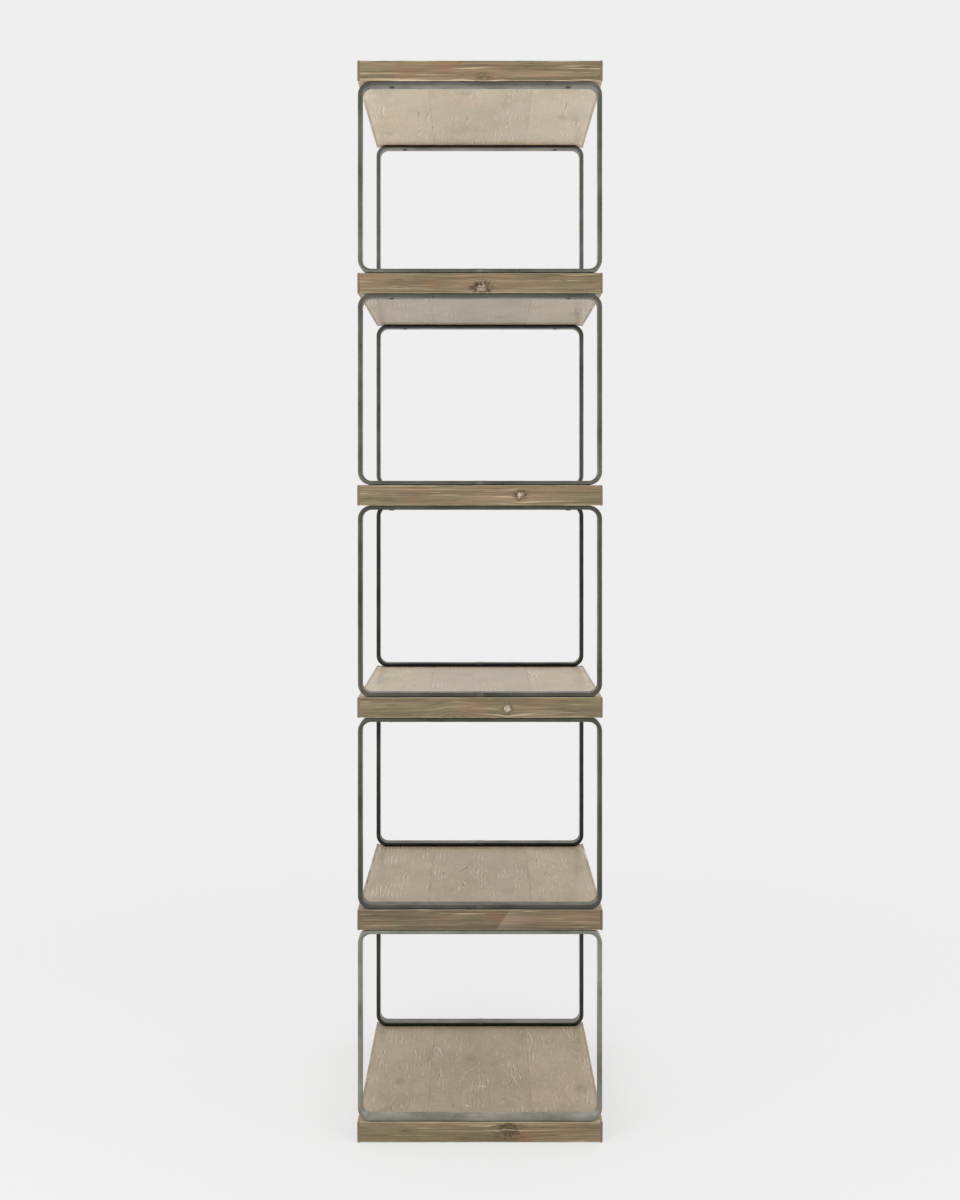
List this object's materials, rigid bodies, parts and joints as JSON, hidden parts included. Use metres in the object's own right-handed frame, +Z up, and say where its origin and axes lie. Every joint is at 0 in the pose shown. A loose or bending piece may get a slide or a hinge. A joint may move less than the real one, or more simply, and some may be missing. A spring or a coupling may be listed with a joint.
{
  "type": "etagere",
  "caption": "Tall open etagere: thick knotty-wood shelves carried on rounded flat-bar metal frames at front and rear, screwed through the shelves, standing on low floor glides.",
  "frame": {"origin": "on the floor, under the middle of the shelves", "axes": "+Z up, +X to the right across the front, -Y towards the viewer of the front"},
  "size_m": [0.457, 0.508, 2.0145],
  "materials": {
    "face_wood": "limed, wire-brushed knotty oak",
    "edge_wood": "smoked, oiled knotty oak",
    "frame_metal": "patinated pewter-grey steel flat bar",
    "screw_steel": "blackened",
    "insert_zinc": "zinc plated",
    "glide_nylon": "moulded nylon"
  },
  "bodies": {
    "root": {"shelf_1_left_board": "face_wood", "shelf_1_middle_board": "face_wood", "shelf_1_right_board": "face_wood", "shelf_1_front_rail": "edge_wood", "shelf_1_rear_rail": "edge_wood", "shelf_1_left_edge": "edge_wood", "shelf_1_right_edge": "edge_wood", "shelf_2_left_board": "face_wood", "shelf_2_middle_board": "face_wood", "shelf_2_right_board": "face_wood", "shelf_2_front_rail": "edge_wood", "shelf_2_rear_rail": "edge_wood", "shelf_2_left_edge": "edge_wood", "shelf_2_right_edge": "edge_wood", "shelf_3_left_board": "face_wood", "shelf_3_middle_board": "face_wood", "shelf_3_right_board": "face_wood", "shelf_3_front_rail": "edge_wood", "shelf_3_rear_rail": "edge_wood", "shelf_3_left_edge": "edge_wood", "shelf_3_right_edge": "edge_wood", "shelf_4_left_board": "face_wood", "shelf_4_middle_board": "face_wood", "shelf_4_right_board": "face_wood", "shelf_4_front_rail": "edge_wood", "shelf_4_rear_rail": "edge_wood", "shelf_4_left_edge": "edge_wood", "shelf_4_right_edge": "edge_wood", "shelf_5_left_board": "face_wood", "shelf_5_middle_board": "face_wood", "shelf_5_right_board": "face_wood", "shelf_5_front_rail": "edge_wood", "shelf_5_rear_rail": "edge_wood", "shelf_5_left_edge": "edge_wood", "shelf_5_right_edge": "edge_wood", "shelf_6_left_board": "face_wood", "shelf_6_middle_board": "face_wood", "shelf_6_right_board": "face_wood", "shelf_6_front_rail": "edge_wood", "shelf_6_rear_rail": "edge_wood", "shelf_6_left_edge": "edge_wood", "shelf_6_right_edge": "edge_wood", "tier_1_front_frame": "frame_metal", "tier_1_rear_frame": "frame_metal", "tier_2_front_frame": "frame_metal", "tier_2_rear_frame": "frame_metal", "tier_3_front_frame": "frame_metal", "tier_3_rear_frame": "frame_metal", "tier_4_front_frame": "frame_metal", "tier_4_rear_frame": "frame_metal", "tier_5_front_frame": "frame_metal", "tier_5_rear_frame": "frame_metal", "through_screws": "screw_steel", "top_screws": "screw_steel", "base_screws": "screw_steel", "glide_screws": "screw_steel", "top_inserts": "insert_zinc", "floor_glides": "glide_nylon"}
  },
  "joints": []
}
